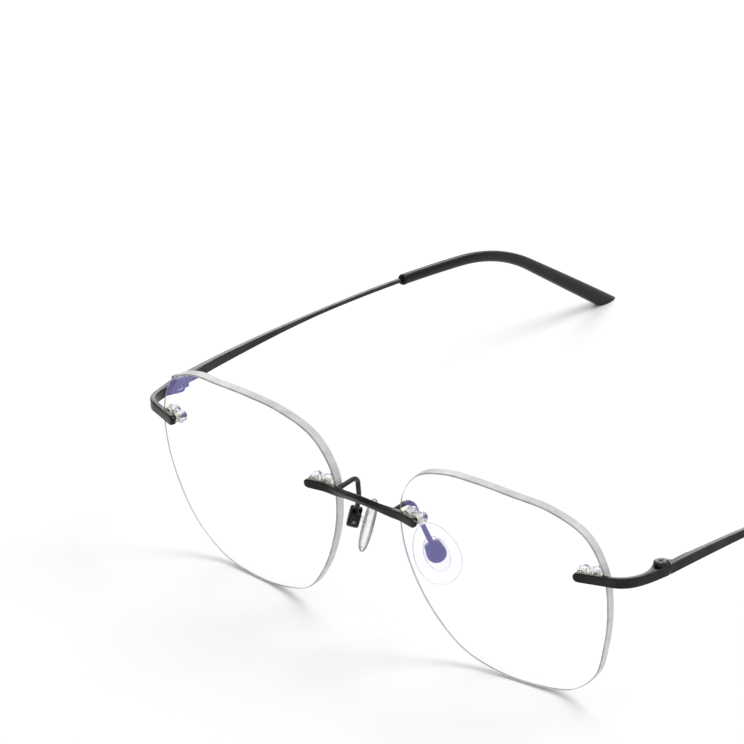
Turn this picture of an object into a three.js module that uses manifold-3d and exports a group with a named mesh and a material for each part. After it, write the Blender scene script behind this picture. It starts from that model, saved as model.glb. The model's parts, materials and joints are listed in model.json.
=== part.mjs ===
import * as THREE from "three";
import { mergeVertices } from "three/addons/utils/BufferGeometryUtils.js";
import Module from "manifold-3d";

// Rimless eyeglasses, open, standing on the lower edges of the lenses and on the temple tips.
// Each piece is drawn in the wearer's frame: +X towards the wearer's left, +Y back to the ears,
// +Z up, with zero height at the middle of the hinges and zero depth at the lens centres.
// Everything beside the bridge is drawn for the left side, and the right side mirrors it.

const wasm = await Module();
wasm.setup();

// Driving dimensions, in millimetres and degrees.
const LENS_CENTRE_X = 34.9;
const LENS_CENTRE_Z = -8.55;
const LENS_THICKNESS = 2;
const LENS_RADIUS = 85;
const PANTO_TILT = THREE.MathUtils.degToRad(6.65);
const FACE_WRAP = THREE.MathUtils.degToRad(4.25);
const REST_TILT = THREE.MathUtils.degToRad(2.97);

const TEMPORAL_MOUNT = { x: 22.5, z: 8.6 };
const NASAL_MOUNT = { x: -22, z: 9.1 };
const POST_SPACING = 2.8;
const POST_RADIUS = 0.45;
const POST_REACH = 3.7;
const DRILL_RADIUS = 1;
const FIT = 0.12;
const FLANGE_GAP = 0.22;

const BAR_HALF_HEIGHT = 1;
const BAR_HALF_DEPTH = 0.62;
const BAR_STANDOFF = 0.15;

const BRIDGE_HALF_LENGTH = 15.35;
const BRIDGE_STRAIGHT = 11.3;
const BRIDGE_SLOPE = 0.2;
const BRIDGE_FORWARD = 1;
const BRIDGE_HEIGHT = 0.45;
const BRIDGE_ARCH = 1.1;

const HINGE_X = 66.1;
const HINGE_Y = 16;
const TEMPLE_SPLAY = THREE.MathUtils.degToRad(1.9);
const CORNER_X = 65.2;
const ENDPIECE_RISE = 0.35;
const BOSS_RADIUS = 1.7;
const BOSS_HALF_HEIGHT = 1.35;
const KNUCKLE_RADIUS = 1.15;
const OUTER_FACE = 1.65;
const SPLIT = 1.35;
const TONGUE_HALF_HEIGHT = 0.45;
const KNUCKLE_GAP = 0.3;
const WASHER_THICKNESS = 0.2;

const ARM_RADIUS = 470;
const BEND_START = 92;
const BEND_RADIUS = 57;
const BEND_ANGLE = THREE.MathUtils.degToRad(25.7);
const TEMPLE_LENGTH = 151;
const TIP_START = 72.2;
const CORE_LENGTH = 112;
const TIP_SPREAD = 3.8;
const TIP_INSET = 0.5;

const PAD_BOX = new THREE.Vector3(11.5, 9.6, -10.6);
const PAD_DOWN = new THREE.Vector3(0.42, 0.12, -0.9).normalize();
const PAD_FACING = new THREE.Vector3(-0.755, 0.6, -0.27);
const PAD_BACK = 1.85;

const { clamp, smoothstep, lerp } = THREE.MathUtils;

// Solids and meshes.

function toSolid(shape) {
  if (!shape.isBufferGeometry) return shape;
  const plain = shape.clone();
  plain.deleteAttribute("normal");
  plain.deleteAttribute("uv");
  const merged = mergeVertices(plain, 1e-4);
  return new wasm.Manifold(
    new wasm.Mesh({
      numProp: 3,
      vertProperties: merged.attributes.position.array,
      triVerts: new Uint32Array(merged.index.array),
    }),
  );
}

function toGeometry(shape) {
  if (shape.isBufferGeometry) return shape;
  const { vertProperties, triVerts } = shape.getMesh();
  const geometry = new THREE.BufferGeometry();
  geometry.setAttribute("position", new THREE.BufferAttribute(vertProperties, 3));
  geometry.setIndex(new THREE.BufferAttribute(triVerts, 1));
  geometry.computeVertexNormals();
  return geometry;
}

function join(first, ...others) {
  return others.reduce((whole, other) => whole.add(toSolid(other)), toSolid(first));
}

function cut(first, ...others) {
  return others.reduce((whole, other) => whole.subtract(toSolid(other)), toSolid(first));
}

function placed(shape, frame) {
  return toGeometry(shape).clone().applyMatrix4(frame);
}

function piece(name, shape, material) {
  const mesh = new THREE.Mesh(toGeometry(shape), material);
  mesh.name = name;
  return mesh;
}

// Plain building shapes.

function block(x0, x1, y0, y1, z0, z1) {
  const box = new THREE.BoxGeometry(x1 - x0, y1 - y0, z1 - z0);
  return box.translate((x0 + x1) / 2, (y0 + y1) / 2, (z0 + z1) / 2);
}

// A round bar along +Y, between two depths.
function rod(radius, start, end, sides = 12, endRadius = radius) {
  const cylinder = new THREE.CylinderGeometry(endRadius, radius, end - start, sides);
  return cylinder.translate(0, (start + end) / 2, 0);
}

// A round bar along +Z, between two heights.
function pin(radius, bottom, top, sides = 20) {
  return rod(radius, bottom, top, sides).rotateX(Math.PI / 2);
}

// A section of two by two units with its corners cut off.
function chamferedSection(cutA, cutB) {
  const corners = [
    [1, -1 + cutB], [1, 1 - cutB], [1 - cutA, 1], [-1 + cutA, 1],
    [-1, 1 - cutB], [-1, -1 + cutB], [-1 + cutA, -1], [1 - cutA, -1],
  ];
  return new THREE.Shape(corners.map(([a, b]) => new THREE.Vector2(a, b)));
}

// A rounded section of two by two units.
function roundedSection(sides, squareness) {
  const points = [];
  for (let i = 0; i < sides; i++) {
    const angle = ((i + 0.5) * 2 * Math.PI) / sides;
    const c = Math.cos(angle);
    const s = Math.sin(angle);
    points.push(
      new THREE.Vector2(
        Math.sign(c) * Math.abs(c) ** squareness,
        Math.sign(s) * Math.abs(s) ** squareness,
      ),
    );
  }
  return new THREE.Shape(points);
}

// A bar swept from a unit section. place(a, b, share) gives the point at section coordinates a and b
// and at a share of the length from 0 to 1.
function bar(section, steps, place) {
  const geometry = new THREE.ExtrudeGeometry(section, { depth: 1, steps, bevelEnabled: false });
  const position = geometry.getAttribute("position");
  for (let i = 0; i < position.count; i++) {
    const point = place(position.getX(i), position.getY(i), position.getZ(i));
    position.setXYZ(i, point.x, point.y, point.z);
  }
  return geometry;
}

// Half a size that is full inside a bar and rounds off over the last stretch before its end.
function roundedEnd(distanceToEnd, stretch, least = 0.35) {
  const past = 1 - clamp(distanceToEnd / stretch, 0, 1);
  return Math.max(Math.sqrt(1 - past * past), least);
}

// Materials.

const gunmetal = new THREE.MeshStandardMaterial({ color: 0x2c2c2a, roughness: 0.38, metalness: 0.9 });
const steel = new THREE.MeshStandardMaterial({ color: 0x8c8c88, roughness: 0.3, metalness: 1 });
const acetate = new THREE.MeshStandardMaterial({ color: 0x0c0c0c, roughness: 0.32, metalness: 0 });
const nylon = new THREE.MeshStandardMaterial({ color: 0xe6e4de, roughness: 0.5, metalness: 0 });
const coatedResin = new THREE.MeshStandardMaterial({
  color: 0xe4e8f4,
  roughness: 0.03,
  metalness: 0,
  transparent: true,
  opacity: 0.3,
});
const silicone = new THREE.MeshStandardMaterial({
  color: 0xeef2f4,
  roughness: 0.25,
  metalness: 0,
  transparent: true,
  opacity: 0.5,
});

// The lens frame has +X towards the temple, +Y back and +Z up, with its origin on the front surface.
const lensFrame = new THREE.Matrix4()
  .makeTranslation(LENS_CENTRE_X, 0, LENS_CENTRE_Z)
  .multiply(new THREE.Matrix4().makeRotationX(PANTO_TILT))
  .multiply(new THREE.Matrix4().makeRotationZ(FACE_WRAP));

// How far a sphere's surface has fallen back at a distance from its axis.
function sag(distance, radius) {
  return radius - Math.sqrt(radius * radius - distance * distance);
}

// A frame on the front surface of the lens, square to it: +X outwards along the lens, +Y back.
function mountFrame({ x, z }) {
  const reach = Math.hypot(x, z);
  const inward = Math.sqrt(LENS_RADIUS * LENS_RADIUS - reach * reach);
  return lensFrame
    .clone()
    .multiply(new THREE.Matrix4().makeTranslation(x, sag(reach, LENS_RADIUS), z))
    .multiply(new THREE.Matrix4().makeRotationZ(Math.atan2(x, inward)))
    .multiply(new THREE.Matrix4().makeRotationX(-Math.atan2(z, inward)));
}

const temporalFrame = mountFrame(TEMPORAL_MOUNT);
const nasalFrame = mountFrame(NASAL_MOUNT);

// The lens outline is a soft six-sided figure: a nearly level top, a point towards the nose, a long
// slope under it, a level bottom and a round outer side. It runs from the temple over the top.
function lensOutline() {
  const points = [
    [26, 0.1], [25.9, 9], [22.2, 16.7], [14.5, 21], [5.6, 22.4], [-3.2, 22.9],
    [-12.1, 22.1], [-20.4, 18.7], [-25.3, 11.6], [-25.8, 2.8], [-23.5, -5.7], [-19.2, -13.7],
    [-13.3, -20], [-4.6, -22.7], [4.3, -23.2], [13.2, -22.1], [20.2, -16.8], [23.9, -8.7],
  ];
  const curve = new THREE.CatmullRomCurve3(
    points.map(([x, z]) => new THREE.Vector3(x, z, 0)),
    true,
    "centripetal",
  );
  const outline = curve.getSpacedPoints(54).slice(0, -1);
  return new THREE.Shape(outline.map(({ x, y }) => new THREE.Vector2(x, y)));
}

// A shell between two spheres with one centre, wide enough for the lens outline.
function lensShell() {
  const reach = 30;
  const rings = 5;
  const backRadius = LENS_RADIUS - LENS_THICKNESS;
  const profile = [];
  for (let i = 0; i <= rings; i++) {
    const distance = (reach * i) / rings;
    profile.push(new THREE.Vector2(distance, sag(distance, LENS_RADIUS)));
  }
  for (let i = rings; i >= 0; i--) {
    const distance = (reach * i) / rings;
    profile.push(new THREE.Vector2(distance, LENS_THICKNESS + sag(distance, backRadius)));
  }
  return new THREE.LatheGeometry(profile, 28);
}

function lens() {
  const prism = new THREE.ExtrudeGeometry(lensOutline(), { depth: 14, bevelEnabled: false });
  prism.rotateX(Math.PI / 2).translate(0, 12, 0);
  const blank = toSolid(prism).intersect(toSolid(lensShell()));
  const holes = [temporalFrame, nasalFrame].flatMap((frame) =>
    [-1, 1].map((side) => {
      const hole = rod(DRILL_RADIUS, -1, 4, 16).translate((side * POST_SPACING) / 2, 0, 0);
      return placed(hole, frame);
    }),
  );
  return cut(placed(blank, lensFrame), ...holes);
}

function posts(frame) {
  return [-1, 1].map((side) => {
    const post = rod(POST_RADIUS, -BAR_STANDOFF - BAR_HALF_DEPTH, POST_REACH, 10);
    return placed(post.translate((side * POST_SPACING) / 2, 0, 0), frame);
  });
}

// A clear sleeve: two barrels in the lens holes, joined behind the lens by a flange with two humps.
function lensSleeve(frame) {
  const flangeStart = LENS_THICKNESS + FLANGE_GAP;
  const flangeEnd = flangeStart + 0.8;
  const web = block(-POST_SPACING / 2, POST_SPACING / 2, flangeStart, flangeEnd, -1, 1);
  const sides = [-1, 1].map((side) => (side * POST_SPACING) / 2);
  const barrels = sides.flatMap((x) => [
    rod(DRILL_RADIUS - FIT, FIT, flangeEnd, 14).translate(x, 0, 0),
    rod(1.35, flangeStart, flangeEnd, 14).translate(x, 0, 0),
    rod(1.2, flangeStart, flangeEnd + 1, 14, 0.95).translate(x, 0, 0),
  ]);
  const bores = sides.map((x) => rod(POST_RADIUS + FIT, -1, 6, 10).translate(x, 0, 0));
  return placed(cut(join(web, ...barrels), ...bores), frame);
}

// The bridge lies straight along the slope of each lens front, then curves forward to its middle.
function bridgeDepth(x) {
  const mount = new THREE.Vector3().setFromMatrixPosition(nasalFrame);
  const atMount = mount.y - BAR_STANDOFF - BAR_HALF_DEPTH;
  const distance = Math.abs(x);
  const alongLens = atMount - BRIDGE_SLOPE * (Math.max(distance, BRIDGE_STRAIGHT) - mount.x);
  if (distance > BRIDGE_STRAIGHT) return alongLens;
  const share = distance / BRIDGE_STRAIGHT;
  const ease = share * share * (3 - 2 * share);
  const leave = share * share * (share - 1) * BRIDGE_STRAIGHT;
  return lerp(atMount - BRIDGE_FORWARD, alongLens, ease) - BRIDGE_SLOPE * leave;
}

function bridgeRise(x) {
  return BRIDGE_HEIGHT + BRIDGE_ARCH * (1 - smoothstep(Math.abs(x), 0, 8.5));
}

function bridgeBar() {
  return bar(chamferedSection(0.3, 0.2), 34, (a, b, share) => {
    const x = lerp(-BRIDGE_HALF_LENGTH, BRIDGE_HALF_LENGTH, share);
    const overLens = smoothstep(Math.abs(x), 4, 9);
    const rounding = roundedEnd(BRIDGE_HALF_LENGTH - Math.abs(x), 1);
    const halfHeight = lerp(0.68, 0.85, overLens) * rounding;
    return new THREE.Vector3(x, bridgeDepth(x) + a * BAR_HALF_DEPTH, bridgeRise(x) + b * halfHeight);
  });
}

const mirror = new THREE.Matrix4().makeScale(-1, 1, 1);

function bridge() {
  const leftPosts = posts(nasalFrame).map(toSolid);
  const rightPosts = leftPosts.map((post) => post.transform(mirror.toArray()));
  return join(bridgeBar(), ...leftPosts, ...rightPosts);
}

// The hinge frame stands on the hinge axis with +Y along the open temple and +X outwards.
const hingeFrame = new THREE.Matrix4()
  .makeTranslation(HINGE_X, HINGE_Y, 0)
  .multiply(new THREE.Matrix4().makeRotationZ(-TEMPLE_SPLAY));

// The middle line of the endpiece in plan: along the lens front, round the corner, and in an outward
// curve back to the hinge.
function endpiecePath() {
  const onLens = (x) =>
    new THREE.Vector3(x, -BAR_STANDOFF - BAR_HALF_DEPTH, 0).applyMatrix4(temporalFrame);
  const onHinge = (y) =>
    new THREE.Vector3(OUTER_FACE - BAR_HALF_DEPTH, y, 0).applyMatrix4(hingeFrame);
  const start = onLens(-POST_SPACING / 2 - 1.5);
  const along = onLens(1).sub(onLens(0));
  const corner = start.clone().addScaledVector(along, (CORNER_X - start.x) / along.x);
  const bend = onHinge(-2);
  const end = onHinge(SPLIT);
  const turnStart = corner.clone().addScaledVector(along, -2.8);
  const turnEnd = corner.clone().lerp(bend, 0.45);
  const path = new THREE.Path();
  path.moveTo(start.x, start.y);
  path.lineTo(turnStart.x, turnStart.y);
  path.quadraticCurveTo(corner.x, corner.y, turnEnd.x, turnEnd.y);
  path.quadraticCurveTo(bend.x, bend.y, end.x, end.y);
  return path;
}

// How far the endpiece thickens inwards, in a hollow curve, to meet its boss.
function bossFillet(distanceToEnd) {
  const away = clamp((distanceToEnd - 2.2) / 4.5, 0, 1);
  return 1.7 * (1 - away) ** 2 * smoothstep(distanceToEnd, 0.9, 1.5);
}

function endpieceBar() {
  const path = endpiecePath();
  const length = path.getLength();
  return bar(chamferedSection(0.3, 0.18), 32, (a, b, share) => {
    const middle = path.getPointAt(share);
    const heading = path.getTangentAt(share);
    const inner = a > 0 ? bossFillet((1 - share) * length) : 0;
    const offset = a * BAR_HALF_DEPTH + inner;
    const halfHeight = lerp(0.9, BAR_HALF_HEIGHT, smoothstep(share, 0.2, 0.6));
    return new THREE.Vector3(
      middle.x - heading.y * offset,
      middle.y + heading.x * offset,
      ENDPIECE_RISE * (1 - smoothstep(share, 0.4, 0.8)) + b * halfHeight * roundedEnd(share * length, 1),
    );
  });
}

function endpiece() {
  const earStart = TONGUE_HALF_HEIGHT + KNUCKLE_GAP;
  const slotRadius = KNUCKLE_RADIUS + 0.15;
  const boss = join(
    pin(BOSS_RADIUS, -BOSS_HALF_HEIGHT + 0.1, BOSS_HALF_HEIGHT - 0.1, 24),
    pin(BOSS_RADIUS - 0.1, -BOSS_HALF_HEIGHT, BOSS_HALF_HEIGHT, 24),
  );
  const slot = [
    pin(slotRadius, -earStart, earStart, 24),
    block(-3, slotRadius, 0, 3, -earStart, earStart),
    block(-3, 0, -slotRadius, 0.5, -earStart, earStart),
  ];
  const screwHole = [pin(0.7, -3, 3, 16), pin(1.42, BOSS_HALF_HEIGHT - 0.4, 3)];
  return cut(
    join(endpieceBar(), placed(boss, hingeFrame), ...posts(temporalFrame)),
    ...[...slot, ...screwHole].map((shape) => placed(shape, hingeFrame)),
  );
}

function screwHead(radius, bottom, top) {
  const arm = radius * 0.68;
  const floor = top - 0.22;
  return cut(
    join(pin(radius, bottom, top - 0.12, 16), pin(radius - 0.12, bottom, top, 16)),
    block(-arm, arm, -0.17, 0.17, floor, top + 1),
    block(-0.17, 0.17, -arm, arm, floor, top + 1),
  );
}

function hingeScrew() {
  const seat = BOSS_HALF_HEIGHT - 0.35;
  const shank = pin(0.6, -BOSS_HALF_HEIGHT + 0.1, seat + 0.1, 12);
  return placed(join(shank, screwHead(1.3, seat, BOSS_HALF_HEIGHT + 0.25)), hingeFrame);
}

function hingeWasher(side) {
  const inner = TONGUE_HALF_HEIGHT + (KNUCKLE_GAP - WASHER_THICKNESS) / 2;
  const outer = inner + WASHER_THICKNESS;
  const bottom = side > 0 ? inner : -outer;
  const ring = cut(pin(KNUCKLE_RADIUS, bottom, bottom + WASHER_THICKNESS, 16), pin(0.75, -3, 3, 12));
  return placed(ring, hingeFrame);
}

// The block on the inner face of the temple, with the tongue that turns on the hinge screw.
function templeHinge() {
  const shape = new THREE.Shape();
  shape.moveTo(-0.7, 2.4);
  shape.lineTo(0.6, 2.4);
  shape.lineTo(0.6, 9.6);
  shape.quadraticCurveTo(-0.7, 9, -0.7, 6.4);
  shape.closePath();
  const half = BAR_HALF_HEIGHT - 0.1;
  const body = new THREE.ExtrudeGeometry(shape, {
    depth: 2 * half - 0.3,
    curveSegments: 6,
    bevelThickness: 0.15,
    bevelSize: 0.12,
    bevelOffset: -0.12,
    bevelSegments: 1,
  }).translate(0, 0, -half + 0.15);
  const tongue = join(
    pin(KNUCKLE_RADIUS, -TONGUE_HALF_HEIGHT, TONGUE_HALF_HEIGHT, 24),
    block(-0.75, 0.55, 0, 3, -TONGUE_HALF_HEIGHT, TONGUE_HALF_HEIGHT),
  );
  return placed(cut(join(body, tongue), pin(0.72, -3, 3, 16)), hingeFrame);
}

// The outer face line of the temple in the hinge frame: a long slight curve back from the hinge, a bend
// over the ear, and straight down. It also drifts outwards a little.
function templeLine(length) {
  const slight = Math.min(length, BEND_START) / ARM_RADIUS;
  const bent = clamp((length - BEND_START) / BEND_RADIUS, 0, BEND_ANGLE);
  const after = Math.max(length - BEND_START - BEND_RADIUS * BEND_ANGLE, 0);
  const angle = slight + bent;
  const along = ARM_RADIUS * Math.sin(slight) + BEND_RADIUS * (Math.sin(angle) - Math.sin(slight));
  const fall = ARM_RADIUS * (1 - Math.cos(slight)) + BEND_RADIUS * (Math.cos(slight) - Math.cos(angle));
  return {
    x: OUTER_FACE + TIP_SPREAD * (length / TEMPLE_LENGTH) ** 2,
    y: along + after * Math.cos(angle),
    z: -fall - after * Math.sin(angle),
    angle,
  };
}

// A bar along the temple between two lengths. A function gives its half sizes and how far its middle
// lies inside the outer face line.
function templeBar(section, steps, from, to, halfSize) {
  return placed(
    bar(section, steps, (a, b, share) => {
      const length = lerp(from, to, share);
      const line = templeLine(length);
      const { inset, depth, height } = halfSize(length);
      return new THREE.Vector3(
        line.x - inset - a * depth,
        line.y + b * height * Math.sin(line.angle),
        line.z + b * height * Math.cos(line.angle),
      );
    }),
    hingeFrame,
  );
}

// The arm narrows towards the ear under a flat outer face, and its end is a thin core inside the tip.
function armHalfSize(length) {
  const flare = 0.4 * (1 - clamp(length / 14, 0, 1)) ** 2;
  const inset = lerp(0.6, TIP_INSET - 0.05, smoothstep(length, 0, 45)) + flare;
  const inTip = smoothstep(length, TIP_START, TIP_START + 6);
  return {
    inset: lerp(inset, TIP_INSET, inTip),
    depth: lerp(inset, 0.36, inTip),
    height: lerp(1.05, 0.38, smoothstep(length, 5, 46)),
  };
}

function templeArm() {
  const blank = templeBar(chamferedSection(0.3, 0.2), 36, SPLIT + FIT, CORE_LENGTH, armHalfSize);
  const clearance = [pin(BOSS_RADIUS + 0.15, -3, 3, 24), block(-3, 0.75, 1.4, 10, -3, 3)];
  return cut(blank, ...clearance.map((shape) => placed(shape, hingeFrame)));
}

function tipHalfSize(length) {
  const thicker = smoothstep(length, 96, TEMPLE_LENGTH);
  const rounding = roundedEnd(length - TIP_START, 1, 0.85);
  return {
    inset: TIP_INSET,
    depth: lerp(1.02, 1.4, thicker) * rounding,
    height: lerp(1.12, 1.65, thicker) * rounding,
  };
}

// Everything below the surface that the glasses stand on, at its level when they stand tilted on it.
const upright = new THREE.Matrix4().makeRotationX(REST_TILT);
const lensAtRest = placed(lens(), upright);
lensAtRest.computeBoundingBox();
const GROUND = lensAtRest.boundingBox.min.z;

function belowGround() {
  return placed(block(0, 120, 100, 200, GROUND - 30, GROUND), upright.clone().invert());
}

// The tip's end is cut off level, so that the glasses stand on it.
function templeTip() {
  const end = TEMPLE_LENGTH + 5;
  const outside = templeBar(roundedSection(12, 0.8), 32, TIP_START, end, tipHalfSize);
  const bore = templeBar(chamferedSection(0.25, 0.2), 16, TIP_START - 0.2, CORE_LENGTH + 0.5, (length) => {
    const { inset, depth, height } = armHalfSize(length);
    return { inset, depth: depth + FIT, height: height + FIT };
  });
  return cut(outside, bore, belowGround());
}

// The pad frame stands on the pad screw's axis: +X back along the screw, +Y down the pad,
// +Z towards the nose.
const screwAxis = new THREE.Vector3().crossVectors(PAD_DOWN, PAD_FACING).normalize();
const padFrame = new THREE.Matrix4()
  .makeBasis(screwAxis, PAD_DOWN, new THREE.Vector3().crossVectors(screwAxis, PAD_DOWN))
  .setPosition(PAD_BOX);

// A round bar along the pad screw's axis.
function crossPin(radius, start, end, sides = 12) {
  return rod(radius, start, end, sides).rotateZ(-Math.PI / 2);
}

function ovalPlate(halfWidth, halfLength, bottom, top, sides = 20) {
  return pin(1, bottom, top, sides).scale(halfWidth, halfLength, 1).translate(0, 1.2, 0);
}

function nosePad() {
  const cushion = new THREE.SphereGeometry(1, 20, 12).rotateX(Math.PI / 2);
  const position = cushion.getAttribute("position");
  for (let i = 0; i < position.count; i++) {
    const x = position.getX(i);
    const y = position.getY(i);
    const z = position.getZ(i);
    const width = 4.5 * (1 + 0.14 * y);
    const flattened = Math.sign(z) * Math.abs(z) ** 0.7;
    position.setXYZ(i, x * width, 1.2 + y * 6.8, PAD_BACK + 1.15 + flattened * 1.15);
  }
  return placed(cut(cushion, ovalPlate(2.6, 4.2, 0, PAD_BACK + 0.75)), padFrame);
}

function padInsert() {
  const plate = ovalPlate(2.48, 4.08, PAD_BACK + 0.05, PAD_BACK + 0.65);
  const stud = join(
    crossPin(0.9, -0.45, 0.45, 16),
    block(-0.45, 0.45, -0.6, 0.6, 0.3, PAD_BACK + 0.3),
  );
  return placed(cut(join(plate, stud), crossPin(0.55, -2, 2)), padFrame);
}

// A fork whose two prongs hold the pad's stud, closed by a rounded back.
function padBox() {
  const shape = new THREE.Shape();
  shape.moveTo(1.2, -1.8);
  shape.lineTo(1.2, 1.7);
  shape.lineTo(0, 1.7);
  shape.quadraticCurveTo(-1.6, 1.7, -1.6, 0);
  shape.quadraticCurveTo(-1.6, -1.8, 0, -1.8);
  shape.closePath();
  const body = new THREE.ExtrudeGeometry(shape, {
    depth: 2.5,
    curveSegments: 6,
    bevelThickness: 0.2,
    bevelSize: 0.15,
    bevelOffset: -0.15,
    bevelSegments: 1,
  });
  // The outline is drawn with its first axis on the pad frame's +Z and its second on +Y.
  body.translate(0, 0, -1.25).rotateY(-Math.PI / 2);
  return placed(
    cut(body, block(-0.57, 0.57, -3, 3, -1.02, 3), crossPin(0.55, -3, 3)),
    padFrame,
  );
}

function padScrew() {
  const head = toGeometry(screwHead(0.62, 0, 0.34)).rotateY(-Math.PI / 2).translate(-1.5, 0, 0);
  return placed(join(head, crossPin(0.42, -1.6, 1.35)), padFrame);
}

// The wire that carries the pad box, from the back of the bridge.
function padArm() {
  const rootX = 7.6;
  const rootY = bridgeDepth(rootX) + BAR_HALF_DEPTH + FIT;
  const boxTop = new THREE.Vector3(0, -2.1, -0.2).applyMatrix4(padFrame);
  const route = new THREE.CatmullRomCurve3([
    new THREE.Vector3(rootX, rootY, bridgeRise(rootX)),
    new THREE.Vector3(7.8, 4.6, 0.65),
    new THREE.Vector3(8, 6.5, 0.25),
    new THREE.Vector3(8.4, 7.9, -1.8),
    new THREE.Vector3(9.2, 8.7, -5.2),
    boxTop.clone().addScaledVector(PAD_DOWN, -1.8),
    boxTop,
  ]);
  const wire = new THREE.Shape();
  wire.absarc(0, 0, 0.52, 0, 2 * Math.PI);
  return new THREE.ExtrudeGeometry(wire, { steps: 20, curveSegments: 4, extrudePath: route });
}

function sidePieces(side) {
  const named = (name, shape, material) => piece(name + "_" + side, shape, material);
  const group = new THREE.Group();
  group.add(
    named("lens", lens(), coatedResin),
    named("lens_sleeve_temporal", lensSleeve(temporalFrame), silicone),
    named("lens_sleeve_nasal", lensSleeve(nasalFrame), silicone),
    named("endpiece", endpiece(), gunmetal),
    named("hinge_screw", hingeScrew(), steel),
    named("hinge_washer_upper", hingeWasher(1), nylon),
    named("hinge_washer_lower", hingeWasher(-1), nylon),
    named("temple_hinge", templeHinge(), gunmetal),
    named("temple_arm", templeArm(), gunmetal),
    named("temple_tip", templeTip(), acetate),
    named("pad_arm", padArm(), gunmetal),
    named("pad_box", padBox(), gunmetal),
    named("pad_screw", padScrew(), steel),
    named("pad_insert", padInsert(), silicone),
    named("nose_pad", nosePad(), silicone),
  );
  if (side === "right") group.scale.x = -1;
  return group;
}

const glasses = new THREE.Group();
glasses.add(sidePieces("left"), sidePieces("right"), piece("bridge", bridge(), gunmetal));
glasses.rotation.x = REST_TILT;

// The origin is under the middle of the whole, on the surface that the glasses stand on.
const box = new THREE.Box3().setFromObject(glasses, true);
glasses.position.set(0, -(box.min.y + box.max.y) / 2, -box.min.z);

const eyeglasses = new THREE.Group();
eyeglasses.add(glasses);

export default eyeglasses;
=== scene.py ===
import json
import math

import bpy
from mathutils import Matrix, Vector


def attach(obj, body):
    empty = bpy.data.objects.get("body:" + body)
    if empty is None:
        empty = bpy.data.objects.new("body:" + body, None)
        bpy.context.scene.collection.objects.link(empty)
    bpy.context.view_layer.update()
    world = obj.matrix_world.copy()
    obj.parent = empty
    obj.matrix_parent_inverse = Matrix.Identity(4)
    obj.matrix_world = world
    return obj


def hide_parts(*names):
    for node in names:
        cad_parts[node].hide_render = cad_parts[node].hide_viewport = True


# Rimless eyeglasses. Every piece is drawn in millimetres in the wearer's frame, as the CAD part is: +X to
# the wearer's left, +Y back to the ears, +Z up, zero height at the middle of the hinges. A piece beside
# the bridge is drawn once, for the left side, and mirrored.

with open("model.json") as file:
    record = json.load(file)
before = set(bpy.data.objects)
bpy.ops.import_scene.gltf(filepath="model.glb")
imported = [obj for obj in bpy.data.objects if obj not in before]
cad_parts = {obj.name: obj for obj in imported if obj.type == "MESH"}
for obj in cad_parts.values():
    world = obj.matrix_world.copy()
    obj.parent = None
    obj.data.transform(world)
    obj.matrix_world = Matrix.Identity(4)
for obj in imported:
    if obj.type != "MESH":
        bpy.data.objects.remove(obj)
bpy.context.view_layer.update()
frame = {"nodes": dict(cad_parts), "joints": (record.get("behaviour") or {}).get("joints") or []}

# The shape of the lenses and where they stand.
LENS_CENTRE = Vector((34.9, 0, -8.55))
LENS_THICKNESS = 2
LENS_RADIUS = 85
LENS_INDEX = 1.56
PANTO_TILT = math.radians(6.65)
FACE_WRAP = math.radians(4.25)
TEMPORAL_MOUNT = (22.5, 8.6)
NASAL_MOUNT = (-22, 9.1)
POST_SPACING = 2.8
POST_RADIUS = 0.45
POST_REACH = 3.9
POST_CHAMFER = 0.12
DRILL_RADIUS = 1

# The bars on the front of the lenses.
BAR_HALF_DEPTH = 0.62
BAR_STANDOFF = 0.15
BAR_CORNER = 0.26
BAR_END_HEIGHT = 1.5
BAR_END_DEPTH = 0.85
BRIDGE_HALF_LENGTH = 15.35
BRIDGE_STRAIGHT = 11.3
BRIDGE_SLOPE = 0.2
BRIDGE_FORWARD = 1
BRIDGE_HEIGHT = 0.45
BRIDGE_ARCH = 1.1
BRIDGE_ARCH_REACH = 8.5
BRIDGE_LENS_HALF_HEIGHT = 0.98
BRIDGE_MIDDLE_HALF_HEIGHT = 0.8
BRIDGE_MIDDLE_HALF_DEPTH = 0.6
BRIDGE_MIDDLE_TURN = 0.42
BRIDGE_SECTION_CHANGE = (3.5, 10)

# The hinges and the temples.
HINGE = Vector((66.1, 16, 0))
TEMPLE_SPLAY = math.radians(1.9)
CORNER_X = 65.2
ENDPIECE_RISE = 0.35
ENDPIECE_PAST_POST = 1.5
ENDPIECE_HALF_HEIGHT = (1.02, 1.1)
BOSS_RADIUS = 1.62
BOSS_TOP = 1.75
BOSS_BOTTOM = -1.14
SLOT_RADIUS = 1.3
SLOT_HALF_HEIGHT = 0.75
SCREW_HOLE_RADIUS = 0.7
SCREW_HEAD_RADIUS = 1.3
OUTER_FACE = 1.65
SPLIT = 0.8
SPLIT_GAP = 0.12
TONGUE_HALF_HEIGHT = 0.45
ARM_RADIUS = 470
BEND_START = 92
BEND_RADIUS = 57
BEND_ANGLE = math.radians(25.7)
TEMPLE_LENGTH = 151
TIP_START = 72.2
CORE_LENGTH = 112
CORE_HALF_SIZE = 0.34
TIP_SPREAD = 3.8
TIP_INSET = 0.5

# The nose pads.
PAD_BOX = Vector((11.5, 9.6, -10.6))
PAD_DOWN = Vector((0.42, 0.12, -0.9)).normalized()
PAD_FACING = Vector((-0.755, 0.6, -0.27))
PAD_BACK = 1.85
PAD_CENTRE = 1.2
PAD_ARM_RADIUS = 0.53
PAD_ARM_ROOT_X = 7.6

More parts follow.
